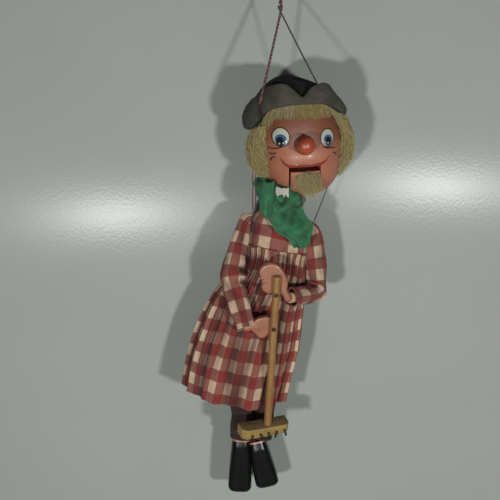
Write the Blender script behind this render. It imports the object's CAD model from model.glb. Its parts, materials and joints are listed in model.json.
import json
import math
import random

import bmesh
import bpy
from mathutils import Matrix, Vector, noise


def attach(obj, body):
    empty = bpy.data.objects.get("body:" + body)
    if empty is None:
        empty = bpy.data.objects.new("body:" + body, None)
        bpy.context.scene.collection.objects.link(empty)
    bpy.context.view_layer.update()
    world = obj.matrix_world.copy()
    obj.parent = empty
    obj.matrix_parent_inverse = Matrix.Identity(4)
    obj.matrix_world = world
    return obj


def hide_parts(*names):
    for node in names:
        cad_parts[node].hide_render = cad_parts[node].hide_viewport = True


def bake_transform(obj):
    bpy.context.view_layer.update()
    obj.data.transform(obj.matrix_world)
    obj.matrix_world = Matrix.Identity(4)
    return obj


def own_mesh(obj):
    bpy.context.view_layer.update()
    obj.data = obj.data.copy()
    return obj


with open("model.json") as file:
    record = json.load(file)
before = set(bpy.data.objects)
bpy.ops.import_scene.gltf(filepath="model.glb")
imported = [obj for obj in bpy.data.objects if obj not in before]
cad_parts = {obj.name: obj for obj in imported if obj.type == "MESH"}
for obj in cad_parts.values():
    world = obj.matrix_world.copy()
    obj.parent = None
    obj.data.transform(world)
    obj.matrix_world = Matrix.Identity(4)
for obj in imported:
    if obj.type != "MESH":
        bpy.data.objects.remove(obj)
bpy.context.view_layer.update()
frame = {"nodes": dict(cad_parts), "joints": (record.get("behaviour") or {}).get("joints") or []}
nodes = frame["nodes"]
joints = {}
for joint in frame["joints"]:
    joints[joint["name"]] = Vector([round(v, 5) for v in Vector(joint["pos_m"])])  # to 0.01 mm
sides = {"right": -1.0, "left": 1.0}  # the puppet's own sides
acrossAxis, deepAxis, upAxis = Vector((1, 0, 0)), Vector((0, 1, 0)), Vector((0, 0, 1))
print("frame loaded:", len(nodes), "nodes")


# small tools for numbers and places

def clamped(value):
    return min(1.0, max(0.0, value))


def between(low, high, value):
    t = clamped((value - low) / (high - low))
    return t * t * (3 - 2 * t)


def bell(value, spread):
    return math.exp(-(value / spread) ** 2)


def bulged(value, power):
    return math.copysign(abs(value) ** power, value)


def turnOf(step, count):
    return 2 * math.pi * step / count


def ringSpot(a, radius=1.0, height=0.0):
    return Vector((radius * math.cos(a), radius * math.sin(a), height))


def ripple(a, scale, level):
    # slow noise that closes on itself round a piece
    return noise.noise(ringSpot(a, scale, level))


def turned(origin, degrees):
    spin = Matrix.Identity(4)
    for axis, value in zip("XYZ", degrees):
        spin = Matrix.Rotation(math.radians(value), 4, axis) @ spin
    return Matrix.Translation(origin) @ spin


def frameAlong(origin, along, hint):
    up = along.normalized()
    across = (hint - up * hint.dot(up)).normalized()
    spin = Matrix((across, up.cross(across), up)).transposed().to_4x4()
    return Matrix.Translation(origin) @ spin


def smoothRead(xs, ys, x):
    if x <= xs[0]:
        return ys[0]
    if x >= xs[-1]:
        return ys[-1]
    i = max(k for k in range(len(xs) - 1) if xs[k] <= x)
    slopes = []
    for k in (i, i + 1):
        before, after = max(k - 1, 0), min(k + 1, len(xs) - 1)
        slopes.append((ys[after] - ys[before]) / (xs[after] - xs[before]))
    h = xs[i + 1] - xs[i]
    t = (x - xs[i]) / h
    start = ys[i] * (2 * t ** 3 - 3 * t ** 2 + 1) + slopes[0] * h * (t ** 3 - 2 * t ** 2 + t)
    return start + ys[i + 1] * (3 * t ** 2 - 2 * t ** 3) + slopes[1] * h * (t ** 3 - t ** 2)


def alongRows(plan, share):
    # a smooth reading of a short table of rows that start with their share
    shares, *columns = zip(*plan)
    return [float(smoothRead(shares, column, share)) for column in columns]


def smoothPath(knots, steps):
    knots = [Vector(k) for k in knots]
    ends = [knots[0] * 2 - knots[1]] + knots + [knots[-1] * 2 - knots[-2]]
    path = []
    for i in range(1, len(ends) - 2):
        a, b, c, d = ends[i - 1:i + 3]
        for step in range(steps):
            t = step / steps
            path.append((b * 2 + (c - a) * t + (a * 2 - b * 5 + c * 4 - d) * t * t
                         + (b * 3 - a - c * 3 + d) * t ** 3) * 0.5)
    return path + [knots[-1].copy()]


def evenPath(knots, gap):
    dense = smoothPath(knots, 24)
    total = [0.0]
    for a, b in zip(dense, dense[1:]):
        total.append(total[-1] + (b - a).length)
    count = max(4, int(round(total[-1] / gap)))
    out = []
    j = 0
    for i in range(count + 1):
        want = total[-1] * i / count
        while j < len(dense) - 2 and total[j + 1] < want:
            j += 1
        share = (want - total[j]) / max(1e-9, total[j + 1] - total[j])
        out.append(dense[j].lerp(dense[j + 1], min(1.0, share)))
    return out


def pathLength(path):
    return sum((b - a).length for a, b in zip(path, path[1:]))


def stepAlong(path, i, reach=1):
    return path[min(i + reach, len(path) - 1)] - path[max(i - reach, 0)]


# small tools for meshes

def addPiece(name, mesh, *mats):
    made = bpy.data.objects.new(name, mesh)
    bpy.context.scene.collection.objects.link(made)
    for mat in mats:
        mesh.materials.append(mat)
    return smoothed(made)


def smoothed(piece, sharp=None):
    # smooth faces; edges steeper than the given angle stay crisp
    for face in piece.data.polygons:
        face.use_smooth = True
    if sharp:
        piece.data.set_sharp_from_angle(angle=math.radians(sharp))
    return piece


def meshPiece(name, points, faces, *mats):
    mesh = bpy.data.meshes.new(name)
    mesh.from_pydata([tuple(p) for p in points], [], faces)
    return addPiece(name, mesh, *mats)


def slotted(piece, slots):
    for face, slot in zip(piece.data.polygons, slots):
        face.material_index = slot
    return piece


def netOf(steps, count, spotAt):
    # rows of points, each with its place in the folds, from a rule for one point
    found = [[spotAt(step, c) for c in range(count)] for step in range(steps + 1)]
    return [[spot for spot, depth in row] for row in found], [depth for row in found for spot, depth in row]


def gridPiece(name, rows, mats, ring=True, uv=None, cap=False, loop=False):
    # ring closes each row, loop joins the last row to the first, cap fills both ends
    count = len(rows[0])
    points = [p for row in rows for p in row]
    faces = []
    corners = []
    for r in range(len(rows) if loop else len(rows) - 1):
        for c in range(count if ring else count - 1):
            d = (c + 1) % count
            below = (r + 1) % len(rows)
            faces.append((r * count + c, below * count + c, below * count + d, r * count + d))
            corners += [(r, c), (r + 1, c), (r + 1, c + 1), (r, c + 1)]
    if cap:
        faces.append(tuple(range(count)))
        faces.append(tuple(reversed(range(len(points) - count, len(points)))))
    made = meshPiece(name, points, faces, *mats)
    if uv:
        layer = made.data.uv_layers.new(name="cloth")
        layer.data.foreach_set("uv", [value for r, c in corners for value in uv(r, c)])
    return made


def tubeFaces(first, rings, count):
    # the skin of a tube of point rings, with both ends closed
    faces = []
    for low in range(first, first + (rings - 1) * count, count):
        for c in range(count):
            d = (c + 1) % count
            faces.append((low + c, low + d, low + count + d, low + count + c))
    last = first + (rings - 1) * count
    return faces + [tuple(reversed(range(first, first + count))), tuple(range(last, last + count))]


def marked(piece, values, label="fold"):
    layer = piece.data.attributes.new(label, "FLOAT", "POINT")
    layer.data.foreach_set("value", [clamped(v) for v in values])
    return piece


def applied(piece):
    bpy.context.view_layer.update()
    graph = bpy.context.evaluated_depsgraph_get()
    mesh = bpy.data.meshes.new_from_object(piece.evaluated_get(graph))
    piece.modifiers.clear()
    piece.data = mesh
    return piece


def outward(piece):
    shape = bmesh.new()
    shape.from_mesh(piece.data)
    bmesh.ops.recalc_face_normals(shape, faces=shape.faces)
    shape.to_mesh(piece.data)
    shape.free()
    return piece


def modified(piece, kind, **settings):
    step = piece.modifiers.new("step", kind)
    for key, value in settings.items():
        setattr(step, key, value)
    return applied(piece)


def clothPiece(name, net, mat, wall, uv, ring=True, offset=-1.0):
    # a sheet with its folds marked, and its area before it gets its wall
    rows, depths = net
    made = outward(marked(gridPiece(name, rows, [mat], ring, uv), depths))
    area = sum(face.area for face in made.data.polygons)
    return outward(modified(made, "SOLIDIFY", thickness=wall, offset=offset)), area


def carved(piece, cutter, operation="DIFFERENCE"):
    modified(piece, "BOOLEAN", operation=operation, solver="EXACT", object=cutter)
    bpy.data.objects.remove(cutter, do_unlink=True)
    return piece


def edged(piece, width, segments=2, angle=35):
    modified(piece, "BEVEL", width=width, segments=segments, limit_method="ANGLE",
             angle_limit=math.radians(angle))
    piece.data.set_sharp_from_angle(angle=math.radians(50))
    return piece


def boxCutter(low, high, place=Matrix.Identity(4)):
    points = [place @ Vector((x, y, z)) for z in (low[2], high[2]) for x, y in
              ((low[0], low[1]), (high[0], low[1]), (high[0], high[1]), (low[0], high[1]))]
    faces = [(3, 2, 1, 0), (4, 5, 6, 7), (0, 1, 5, 4), (1, 2, 6, 5), (2, 3, 7, 6), (3, 0, 4, 7)]
    return outward(meshPiece("cutter", points, faces))


def lathePiece(name, profile, place, count, *mats):
    # profile of radius and height; a radius of nought is a pole
    points = []
    rows = []
    for radius, height in profile:
        around = 1 if radius < 1e-7 else count
        rows.append(list(range(len(points), len(points) + around)))
        points += [place @ ringSpot(turnOf(c, count), radius, height) for c in range(around)]
    faces = []
    for low, high in zip(rows, rows[1:]):
        for c in range(count):
            d = (c + 1) % count
            ring = [low[c % len(low)], low[d % len(low)], high[d % len(high)], high[c % len(high)]]
            faces.append(tuple(dict.fromkeys(ring)))
    faces += [tuple(row) for row in (rows[0], rows[-1]) if len(row) > 1]
    return outward(meshPiece(name, points, faces, *mats))


def pliedCord(name, path, ply, plies, pitch, mats, spread=None):
    # plies wind round the path; spread widens the winding along it
    points = []
    faces = []
    slots = []
    around = 8
    run = 0.0
    frames = []
    hint = deepAxis
    for i, spot in enumerate(path):
        turnFrame = frameAlong(spot, stepAlong(path, i), hint)
        hint = turnFrame.to_3x3() @ acrossAxis
        run += (spot - path[i - 1]).length if i else 0.0
        frames.append((turnFrame, run))
    for k in range(plies):
        first = len(points)
        for i, (turnFrame, done) in enumerate(frames):
            off = 0.0 if plies == 1 else ply * 0.94 * (spread(i / (len(path) - 1)) if spread else 1.0)
            middle = ringSpot(2 * math.pi * (done / pitch + k / plies), off)
            points += [turnFrame @ (middle + ringSpot(turnOf(c, around), ply)) for c in range(around)]
        faces += tubeFaces(first, len(path), around)
        slots += [k % len(mats)] * (len(faces) - len(slots))
    return slotted(meshPiece(name, points, faces, *mats), slots)


# small tools that say which body a piece goes with

def labelled(piece, stoodFor):
    if stoodFor:
        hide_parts(*stoodFor)
    return piece


def settle(piece, body, slot, *stoodFor):
    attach(piece, body)
    return labelled(piece, stoodFor)


def slung(piece, upper, lower, start, end, slot, *stoodFor):
    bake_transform(piece)
    return labelled(piece, stoodFor)


# small tools for shaders

def newFinish(name, rough=0.5, **sockets):
    mat = bpy.data.materials.new(name)
    mat.use_nodes = True
    shader = mat.node_tree.nodes["Principled BSDF"]
    shader.inputs["Roughness"].default_value = rough
    for key, value in sockets.items():
        label = "".join(" " + c if c.isupper() else c for c in key).title()
        shader.inputs[label.replace("Ior", "IOR")].default_value = value
    return mat, mat.node_tree, shader


def addNode(tree, kind, sockets=None, family="ShaderNode", **settings):
    made = tree.nodes.new(family + kind)
    for key, value in settings.items():
        setattr(made, key, value)
    for key, value in (sockets or {}).items():
        if isinstance(value, bpy.types.NodeSocket):
            tree.links.new(value, made.inputs[key])
        else:
            made.inputs[key].default_value = value
    return made


def feed(tree, shader, source, label="Base Color"):
    tree.links.new(source, shader.inputs[label])


def stretched(tree, where, scale, turn=(0, 0, 0), shift=(0, 0, 0)):
    spun = [math.radians(v) for v in turn]
    sockets = {"Vector": where, "Scale": scale, "Rotation": spun, "Location": shift}
    return addNode(tree, "Mapping", sockets).outputs[0]


def coordsOf(tree, source="Object"):
    return addNode(tree, "TexCoord").outputs[source]


def maths(tree, operation, a, b=0.0, c=0.5, clamp=False):
    return addNode(tree, "Math", {0: a, 1: b, 2: c}, operation=operation, use_clamp=clamp).outputs[0]


def speckle(tree, where, scale, detail=3.0, rough=0.5):
    sockets = {"Vector": where, "Scale": scale, "Detail": detail, "Roughness": rough}
    return addNode(tree, "TexNoise", sockets).outputs["Fac"]


def ramp(tree, factor, *stops):
    made = addNode(tree, "ValToRGB", {"Fac": factor})
    bar = made.color_ramp
    while len(bar.elements) < len(stops):
        bar.elements.new(0.5)
    for element, (position, colour) in zip(bar.elements, stops):
        element.position = position
        element.color = (*colour, 1.0) if hasattr(colour, "__len__") else (colour, colour, colour, 1.0)
    return made.outputs["Color"]


def toned(tree, tint, factor, *stops):
    # a tint made darker or paler along a factor
    sockets = {0: 1.0, 6: tint, 7: ramp(tree, factor, *stops)}
    return addNode(tree, "Mix", sockets, data_type="RGBA", blend_type="MULTIPLY").outputs[2]


def folded(tree, tint, *stops):
    # the piece's own folds: 0 deep in a fold, 1 on its crest
    return toned(tree, tint, addNode(tree, "Attribute", attribute_name="fold").outputs["Fac"], *stops)


def relief(tree, shader, height, distance):
    bump = addNode(tree, "Bump", {"Height": height, "Distance": distance, "Strength": 1.0})
    feed(tree, shader, bump.outputs[0], "Normal")


def weaveOf(tree, where, thread):
    # crossing threads, from -1 to 1
    parts = addNode(tree, "SeparateXYZ", {0: where}).outputs
    turns = 2 * math.pi / thread
    warp, weft = (maths(tree, "SINE", maths(tree, "MULTIPLY", parts[axis], turns)) for axis in (0, 1))
    return maths(tree, "MULTIPLY", warp, weft)


def scaled(colour, share):
    return tuple(share * c for c in colour)


def glossyPaint(name, colour, deep, rough, coat, blotch=90.0, shaded=None):
    # brush-painted gloss: slow blotches, rubbed patches, faint brush relief, a shaded end where asked
    mat, tree, shader = newFinish(name, rough, coatWeight=coat, coatRoughness=0.12)
    where = coordsOf(tree)
    slow = speckle(tree, where, blotch, 3.0)
    fine = speckle(tree, where, 900.0, 4.0)
    tint = ramp(tree, slow, (0.35, deep), (0.62, colour))
    tint = toned(tree, tint, fine, (0.30, 0.90), (0.62, 1.0))
    if shaded:
        height = addNode(tree, "VectorMath", {0: where, 1: shaded["along"]}, operation="DOT_PRODUCT")
        span = {0: height.outputs["Value"], 1: shaded["dark"], 2: shaded["clear"]}
        level = addNode(tree, "MapRange", span).outputs[0]
        tint = toned(tree, tint, level, (0.0, shaded["tone"]), (0.9, 1.0))
    feed(tree, shader, tint)
    feed(tree, shader, ramp(tree, slow, (0.3, rough + 0.12), (0.7, rough - 0.06)), "Roughness")
    relief(tree, shader, maths(tree, "ADD", slow, maths(tree, "MULTIPLY", fine, 0.25)), 0.00025)
    return mat


def woodGrain(name, pale, dark, rough, coat, turn=(0, 0, 0), shift=(0, 0, 0)):
    # grain runs along local Z after the turn
    mat, tree, shader = newFinish(name, rough, coatWeight=coat, coatRoughness=0.25)
    where = stretched(tree, coordsOf(tree), (1, 1, 1), turn, shift)
    slow = speckle(tree, stretched(tree, where, (1, 1, 0.06)), 420.0, 4.0, 0.55)
    pores = speckle(tree, stretched(tree, where, (1, 1, 0.035)), 2600.0, 3.0, 0.6)
    stain = speckle(tree, where, 70.0, 2.0)
    late = tuple(0.8 * p + 0.2 * d for p, d in zip(pale, dark))
    tint = ramp(tree, slow, (0.32, dark), (0.5, pale), (0.68, late))
    tint = toned(tree, tint, pores, (0.36, 0.62), (0.52, 1.0))
    tint = toned(tree, tint, stain, (0.3, 0.80), (0.65, 1.04))
    feed(tree, shader, tint)
    feed(tree, shader, ramp(tree, pores, (0.3, rough + 0.2), (0.6, rough)), "Roughness")
    relief(tree, shader, maths(tree, "ADD", pores, slow), 0.00015)
    return mat


def wireMetal(name, colour, rough):
    mat, tree, shader = newFinish(name, rough, metallic=1.0)
    spots = speckle(tree, coordsOf(tree), 700.0, 4.0)
    feed(tree, shader, ramp(tree, spots, (0.36, scaled(colour, 0.45)), (0.6, colour)))
    feed(tree, shader, ramp(tree, spots, (0.3, rough + 0.25), (0.65, rough)), "Roughness")
    return mat


def plainCloth(name, colour, deep, thread, rough=0.9, sheen=0.3, source="UV", foldStops=()):
    # woven cloth: crossing threads with soft shade changes
    mat, tree, shader = newFinish(name, rough, sheenWeight=sheen, sheenRoughness=0.5)
    where = stretched(tree, coordsOf(tree, source), (1, 1, 1))
    weave = weaveOf(tree, where, thread)
    slow = speckle(tree, coordsOf(tree), 130.0, 3.0)
    slub = speckle(tree, stretched(tree, where, (1, 0.12, 1)), 1500.0, 2.0)
    tint = ramp(tree, slow, (0.34, deep), (0.64, colour))
    tint = toned(tree, tint, slub, (0.3, 0.78), (0.66, 1.08))
    tint = toned(tree, tint, maths(tree, "MULTIPLY_ADD", weave, 0.5), (0.0, 0.88), (1.0, 1.0))
    if foldStops:
        tint = folded(tree, tint, *foldStops)
    feed(tree, shader, tint)
    relief(tree, shader, maths(tree, "ADD", weave, slub), thread * 0.22)
    return mat


def twineFinish(name, colour):
    mat, tree, shader = newFinish(name, 0.62, sheenWeight=0.25)
    fuzz = speckle(tree, coordsOf(tree), 1400.0, 4.0)
    feed(tree, shader, ramp(tree, fuzz, (0.34, scaled(colour, 0.5)), (0.62, colour)))
    relief(tree, shader, fuzz, 0.0003)
    return mat


# the view: the photograph's own height, pitch and distance
view = {"at": (-0.02285, -0.6847, -0.06886), "pitch": 12.0, "lens": 63.0, "sensor": 36.0,
        "near": 0.01, "far": 20.0}
camera = bpy.data.objects.new("camera", bpy.data.cameras.new("camera"))
bpy.context.scene.collection.objects.link(camera)
camera.data.lens = view["lens"]
camera.data.sensor_width = view["sensor"]
camera.data.clip_start = view["near"]
camera.data.clip_end = view["far"]
camera.location = view["at"]
camera.rotation_euler = (math.radians(90 - view["pitch"]), 0, 0)
bpy.context.scene.camera = camera
bpy.context.scene.view_settings.view_transform = "Standard"

# pale glossy board close behind, leaning back a little, swept into a floor well below the boots
board = {"behind": 0.054, "level": -0.12, "lean": 2.0, "top": 1.2, "floor": -0.68, "front": -1.4, "half": 1.7,
         "sweep": 0.10, "sweepSteps": 12, "columns": 20,
         "colour": (0.30, 0.325, 0.297), "rough": 0.21, "gloss": 0.085, "stretch": 0.80}


def boardFinish():
    mat, tree, shader = newFinish("pale_board", board["rough"], specularIorLevel=board["gloss"],
                                  anisotropic=board["stretch"])
    where = coordsOf(tree)
    slow = speckle(tree, where, 9.0, 3.0)
    feed(tree, shader, ramp(tree, slow, (0.3, scaled(board["colour"], 0.96)), (0.7, board["colour"])))
    relief(tree, shader, speckle(tree, where, 420.0, 2.0), 0.00003)
    feed(tree, shader, addNode(tree, "Tangent", direction_type="RADIAL", axis="Z").outputs[0], "Tangent")
    back = addNode(tree, "NewGeometry").outputs["Backfacing"]  # seen only from the front
    clear = addNode(tree, "BsdfTransparent").outputs[0]
    pick = addNode(tree, "MixShader", {0: back, 1: shader.outputs[0], 2: clear})
    feed(tree, tree.nodes["Material Output"], pick.outputs[0], "Surface")
    return mat


def makeBoard():
    slope = math.tan(math.radians(board["lean"]))
    low = board["floor"] + board["sweep"]
    top, foot = (board["behind"] + (height - board["level"]) * slope for height in (board["top"], low))
    route = [(top, board["top"])]
    for step in range(board["sweepSteps"] + 1):
        a = math.pi / 2 * step / board["sweepSteps"]
        route.append((foot - board["sweep"] * (1 - math.cos(a)), low - board["sweep"] * math.sin(a)))
    route.append((board["front"], board["floor"]))
    across = [board["half"] * (2 * c / board["columns"] - 1) for c in range(board["columns"] + 1)]
    rows = [[Vector((x, deep, height)) for x in across] for deep, height in route]
    gridPiece("board", rows, [boardFinish()], ring=False)


makeBoard()

# two soft lamps left and right of the eye, and an even, dim room
lamps = {
    "left": {"at": (-0.280, -0.896, -0.266), "watts": 4.9},
    "right": {"at": (0.337, -0.896, -0.212), "watts": 5.35},
}
lampShape = {"size": (0.055, 0.045), "aim": (0.0, 0.0, -0.21)}
room = {"colour": (0.95, 1.0, 0.96), "strength": 0.072}
for name, lamp in lamps.items():
    light = bpy.data.lights.new("lamp_" + name, "AREA")
    light.shape = "RECTANGLE"
    light.size, light.size_y = lampShape["size"]
    light.energy = lamp["watts"]
    made = bpy.data.objects.new("lamp_" + name, light)
    bpy.context.scene.collection.objects.link(made)
    made.location = lamp["at"]
    aim = Vector(lampShape["aim"]) - made.location
    made.rotation_euler = aim.to_track_quat("-Z", "Y").to_euler()
    made.visible_camera = False
world = bpy.data.worlds.new("room")
world.use_nodes = True
sky = world.node_tree.nodes["Background"]
sky.inputs["Color"].default_value = (*room["colour"], 1.0)
sky.inputs["Strength"].default_value = room["strength"]
bpy.context.scene.world = world
print("view, board and lamps set")

# paints: colour, the deeper tone of its blotches, roughness, coat, blotches to the metre, shaded end
paints = {
    "flesh_paint": ((0.336, 0.126, 0.073), (0.292, 0.104, 0.058), 0.46, 0.06, 90.0,
                    {"along": (0, 0, 1), "dark": -0.1150, "clear": -0.1350, "tone": (0.50, 0.44, 0.40)}),
    "nose_paint": ((0.300, 0.052, 0.016), (0.250, 0.037, 0.011), 0.36, 0.15, 90.0,
                   {"along": (-0.6, 0, 0.8), "dark": -0.1048, "clear": -0.1118, "tone": (0.24, 0.22, 0.18)}),
    "hand_paint": ((0.276, 0.110, 0.062), (0.234, 0.086, 0.045), 0.38, 0.15, 160.0),
    "leg_paint": ((0.345, 0.155, 0.100), (0.290, 0.120, 0.075), 0.42, 0.1, 160.0),
    "mouth_red": ((0.34, 0.070, 0.040), (0.24, 0.045, 0.026), 0.6, 0.0),
    "eye_white": ((0.39, 0.39, 0.33), (0.345, 0.34, 0.28), 0.30, 0.2),
    "iris_blue": ((0.066, 0.118, 0.245), (0.030, 0.058, 0.140), 0.22, 0.4, 500.0),
    "pupil_black": ((0.008, 0.008, 0.010), (0.006, 0.006, 0.007), 0.2, 0.4),
    "line_brown": ((0.050, 0.016, 0.009), (0.032, 0.010, 0.006), 0.35, 0.1),
    "lip_red": ((0.21, 0.032, 0.018), (0.15, 0.022, 0.012), 0.36, 0.1),
    "black_gloss": ((0.0030, 0.0036, 0.0031), (0.0020, 0.0025, 0.0021), 0.26, 0.0),
}
paint = {name: glossyPaint(name, *values) for name, values in paints.items()}
blackShader = paint["black_gloss"].node_tree.nodes["Principled BSDF"]
blackShader.inputs["Specular IOR Level"].default_value = 0.25
steelWire = wireMetal("steel_wire", (0.50, 0.48, 0.45), 0.32)
darkNail = wireMetal("dark_nail", (0.075, 0.045, 0.032), 0.5)
bareWood = woodGrain("bare_wood", (0.50, 0.33, 0.18), (0.36, 0.21, 0.10), 0.6, 0.0)
redTwine = twineFinish("red_twine", (0.21, 0.030, 0.034))
darkTwine = twineFinish("dark_twine", (0.030, 0.019, 0.016))
greenCloth = plainCloth("green_scarf", (0.020, 0.178, 0.064), (0.012, 0.112, 0.040), 0.0007, 0.75, 0.08,
                        foldStops=((0.05, 0.36), (0.45, 0.80), (0.85, 1.15)))
whiteCloth = plainCloth("white_cotton", (0.62, 0.62, 0.56), (0.50, 0.50, 0.45), 0.0006)
neckCotton = plainCloth("neck_cotton", (0.50, 0.50, 0.45), (0.40, 0.40, 0.36), 0.0006, source="Object")
brownCloth = plainCloth("brown_trousers", (0.035, 0.013, 0.008), (0.021, 0.008, 0.005), 0.0006, 0.95, 0.03)
for name, part in nodes.items():  # carried-over solids
    finish = bareWood
    if name == "neck_cord":
        finish = neckCotton
    elif any(word in name for word in ("pin", "eye", "ring", "wire")):
        finish = steelWire
    elif any(word in name for word in ("nail", "tine")):
        finish = darkNail
    part.data.materials.clear()
    part.data.materials.append(finish)
print("finishes ready")

# where the head and the body stand, and how each is tipped
headFrame = turned((0.0169, 0.0, -0.1276), (3, -4, 6))
torsoFrame = turned((0.0033, 0.003, -0.1812), (0, 11, 0))


def headSpot(x, y, z):
    return headFrame @ Vector((x, y, z))


def torsoSpot(x, y, z):
    return torsoFrame @ Vector((x, y, z))


# head: an egg with a full upper lip; paint lies on the same surface
head = {"wide": 0.0315, "tall": 0.042, "topRound": 2.1, "chinRound": 2.6, "rows": 72, "around": 112,
        "mouthHalf": 0.012, "mouthShift": -0.0025, "mouthTop": -0.0141, "mouthBack": -0.0075,
        "neckBall": 0.0058, "neckSink": 0.0008, "crisp": 42,
        # swells of the face: height, middle across and up, spread across and up, squareness
        "swells": [(0.0017, -0.002, -0.0085, 0.0205, 0.0062, 4),
                   (0.0007, -0.0215, -0.007, 0.007, 0.0065, 2), (0.0007, 0.0175, -0.007, 0.007, 0.0065, 2),
                   (-0.0008, -0.0185, 0.0065, 0.0075, 0.0075, 2),
                   (-0.0008, 0.0160, 0.0065, 0.0075, 0.0075, 2)]}
# jaw: a block of the same egg between two slits; its lower outline is depth and height
jaw = {"top": -0.0192, "gap": {"left": 0.0015, "right": 0.0007}, "edge": 0.0004,
       "front": -0.09, "back": -0.0095,
       "lower": [(-0.0085, -0.024), (-0.021, -0.084), (-0.09, -0.084)]}
nose = {"radius": 0.0072, "length": 0.0185, "height": 0.003, "shift": -0.0034, "lift": 84.0, "flat": 0.96,
        "tipRows": 14, "rings": 8, "ringGap": 0.0021, "wave": 0.03, "around": 56}
hairline = 1e-5  # slack for finding the faces of a cut


def skullRadius(height):
    power = head["topRound"] if height >= 0 else head["chinRound"]
    share = min(1.0, abs(height) / head["tall"])
    return head["wide"] * (1 - share ** power) ** (1 / power)


def faceRelief(x, z):
    return sum(high * math.exp(-((x - across) / wide) ** square - ((z - up) / tall) ** 2)
               for high, across, up, wide, tall, square in head["swells"])


def faceSpot(x, z, lift=0.0):
    spots = []
    for dx, dz in ((0, 0), (0.0004, 0), (0, 0.0004)):
        r = skullRadius(z + dz)
        flat = math.sqrt(max(1e-9, r * r - (x + dx) ** 2))
        spots.append(Vector((x + dx, -flat - faceRelief(x + dx, z + dz), z + dz)))
    facing = (spots[1] - spots[0]).cross(spots[2] - spots[0]).normalized()
    if facing.y > 0:
        facing = -facing
    return spots[0] + facing * lift


def eggPiece(name):
    profile = []
    for row in range(head["rows"] + 1):
        a = math.pi * row / head["rows"]
        power = 2 / (head["topRound"] if row < head["rows"] / 2 else head["chinRound"])
        wide = 0.0 if row in (0, head["rows"]) else math.sin(a) ** power
        profile.append((wide * head["wide"], bulged(math.cos(a), power) * head["tall"]))
    mats = (paint["flesh_paint"], paint["mouth_red"])
    made = lathePiece(name, profile, Matrix.Identity(4), head["around"], *mats)
    for vert in made.data.vertices:
        if vert.co.y < 0:
            vert.co.y -= faceRelief(vert.co.x, vert.co.z) * between(0.0, 0.006, -vert.co.y)
    return made


leftEdge, rightEdge = (head["mouthShift"] + side * head["mouthHalf"] for side in (-1, 1))


def makeHead():
    made = eggPiece("head_shell")
    carved(made, boxCutter((leftEdge, -0.09, -0.09), (rightEdge, head["mouthBack"], head["mouthTop"])))
    ball = [(head["neckBall"] * math.sin(math.pi * k / 12), head["neckBall"] * math.cos(math.pi * k / 12))
            for k in range(13)]
    socket = Matrix.Translation((0, 0, -head["tall"] - head["neckSink"]))
    carved(made, lathePiece("cutter", ball, socket, 24))
    for face in made.data.polygons:
        spot = face.center
        inside = leftEdge - hairline < spot.x < rightEdge + hairline and spot.z < head["mouthTop"] + hairline
        if inside and -skullRadius(spot.z) * 0.97 < spot.y < head["mouthBack"] + hairline:
            face.material_index = 1
    made.data.transform(headFrame)
    settle(smoothed(made, head["crisp"]), "head", "flesh_paint", "head")


def makeJaw():
    made = eggPiece("jaw_block")
    ends = (leftEdge + jaw["gap"]["left"], rightEdge - jaw["gap"]["right"])
    outline = [(jaw["front"], jaw["top"]), (jaw["back"], jaw["top"])] + jaw["lower"]
    rows = [[Vector((x, y, z)) for y, z in outline] for x in ends]
    carved(made, outward(gridPiece("cutter", rows, [], cap=True)), "INTERSECT")
    for face in made.data.polygons:
        if face.center.z > jaw["top"] - hairline and face.normal.z > 0.9:
            face.material_index = 1
    made.data.transform(headFrame)
    settle(edged(made, jaw["edge"]), "jaw", "flesh_paint", "jaw")


def makeNose():
    middle = (nose["shift"], -head["wide"] - nose["length"] + nose["radius"], nose["height"])
    noseFrame = headFrame @ Matrix.Translation(middle) @ Matrix.Rotation(math.radians(nose["lift"]), 4, "X")
    tip = [math.pi / 2 * k / nose["tipRows"] for k in range(nose["tipRows"] + 1)]
    profile = [(nose["radius"] * math.sin(a), nose["radius"] * nose["flat"] * math.cos(a)) for a in tip]
    for k in range(1, nose["rings"] + 1):
        profile.append((nose["radius"] * (1 + nose["wave"] * math.sin(k * 0.8)), -nose["ringGap"] * k))
    made = lathePiece("nose_peg", profile, noseFrame, nose["around"], paint["nose_paint"])
    settle(made, "head", "nose_paint", "nose")


makeHead()
makeJaw()
makeNose()


# painted eyes, lines and smile
def paintDot(centre, half, lift, dome, turn=0.0, count=40):
    # a thin closed lens of paint on the face
    rings = []
    c, s = math.cos(math.radians(turn)), math.sin(math.radians(turn))
    for share, up in ((1.0, -0.0004), (1.0, lift * 0.5), (0.94, lift), (0.72, lift + dome * 0.5),
                      (0.4, lift + dome * 0.85), (0.12, lift + dome)):
        ring = []
        for k in range(count):
            a = turnOf(k, count)
            x, z = half[0] * share * math.cos(a), half[1] * share * math.sin(a)
            ring.append(faceSpot(centre[0] + x * c - z * s, centre[1] + x * s + z * c, up))
        rings.append(ring)
    return rings


def brushLine(knots, width, lift=0.00014, blunt=0.25):
    # a stroke of paint that thins at both ends
    path = smoothPath([(x, z, 0) for x, z in knots], 10)
    rings = []
    for i, p in enumerate(path):
        along = stepAlong(path, i)
        across = Vector((-along.y, along.x, 0)).normalized()
        t = i / (len(path) - 1)
        half = width / 2 * max(blunt, min(1.0, 4 * t, 4 * (1 - t)) ** 0.6)
        ring = []
        for share, up in ((-1.0, -0.0003), (-0.8, lift * 0.7), (-0.3, lift), (0.3, lift), (0.8, lift * 0.7),
                          (1.0, -0.0003)):
            q = p + across * half * share
            ring.append(faceSpot(q.x, q.y, up))
        rings.append(ring)
    return rings


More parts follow.
